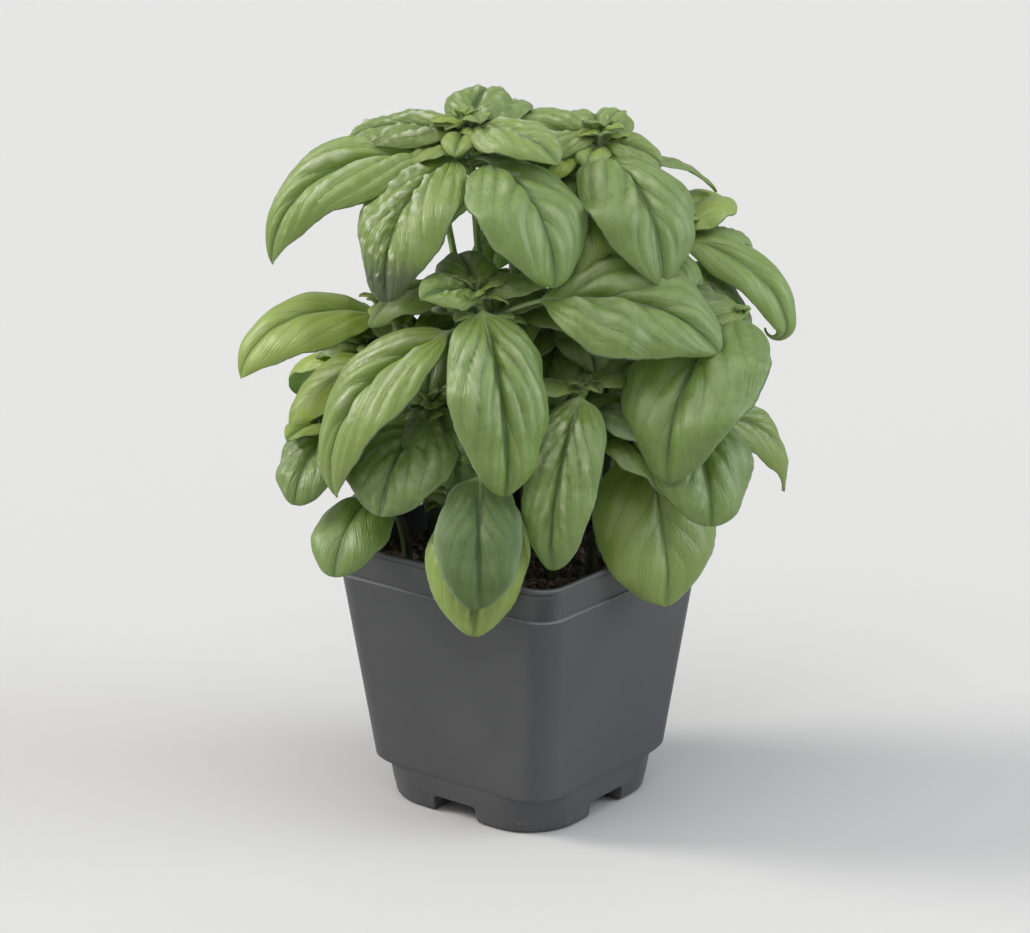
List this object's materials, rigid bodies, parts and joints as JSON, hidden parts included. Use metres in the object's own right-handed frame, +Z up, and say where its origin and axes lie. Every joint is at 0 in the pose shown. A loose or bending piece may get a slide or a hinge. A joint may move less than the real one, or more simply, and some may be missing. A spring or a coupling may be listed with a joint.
{
  "type": "potted basil plant",
  "caption": "Bushy basil plant with broad domed leaves on upright stems, growing from dark soil in a tapered square nursery pot with corner feet",
  "frame": {"origin": "On the pot's axis at table height, centred under the whole plant", "axes": "+Z up; X and Y square to the pot's side faces; the picture looks at the pot's corner between +X and -Y"},
  "size_m": [0.2144, 0.1731, 0.2909],
  "materials": {
    "pot_plastic": "satin",
    "potting_soil": "matte",
    "basil_green": "satin"
  },
  "bodies": {
    "root": {"pot": "pot_plastic", "soil": "potting_soil", "stem_top_left": "basil_green", "stem_top_right": "basil_green", "stem_front": "basil_green", "stem_front_right": "basil_green", "stem_low_left": "basil_green", "stem_right": "basil_green", "stem_front_far_right": "basil_green", "stem_left": "basil_green", "stem_low_right": "basil_green", "stem_low_front": "basil_green", "stem_low_front_left": "basil_green", "stem_back_left": "basil_green", "stem_back_right": "basil_green", "stem_far_right": "basil_green", "stem_far_left": "basil_green", "stem_low_back": "basil_green"}
  },
  "joints": []
}
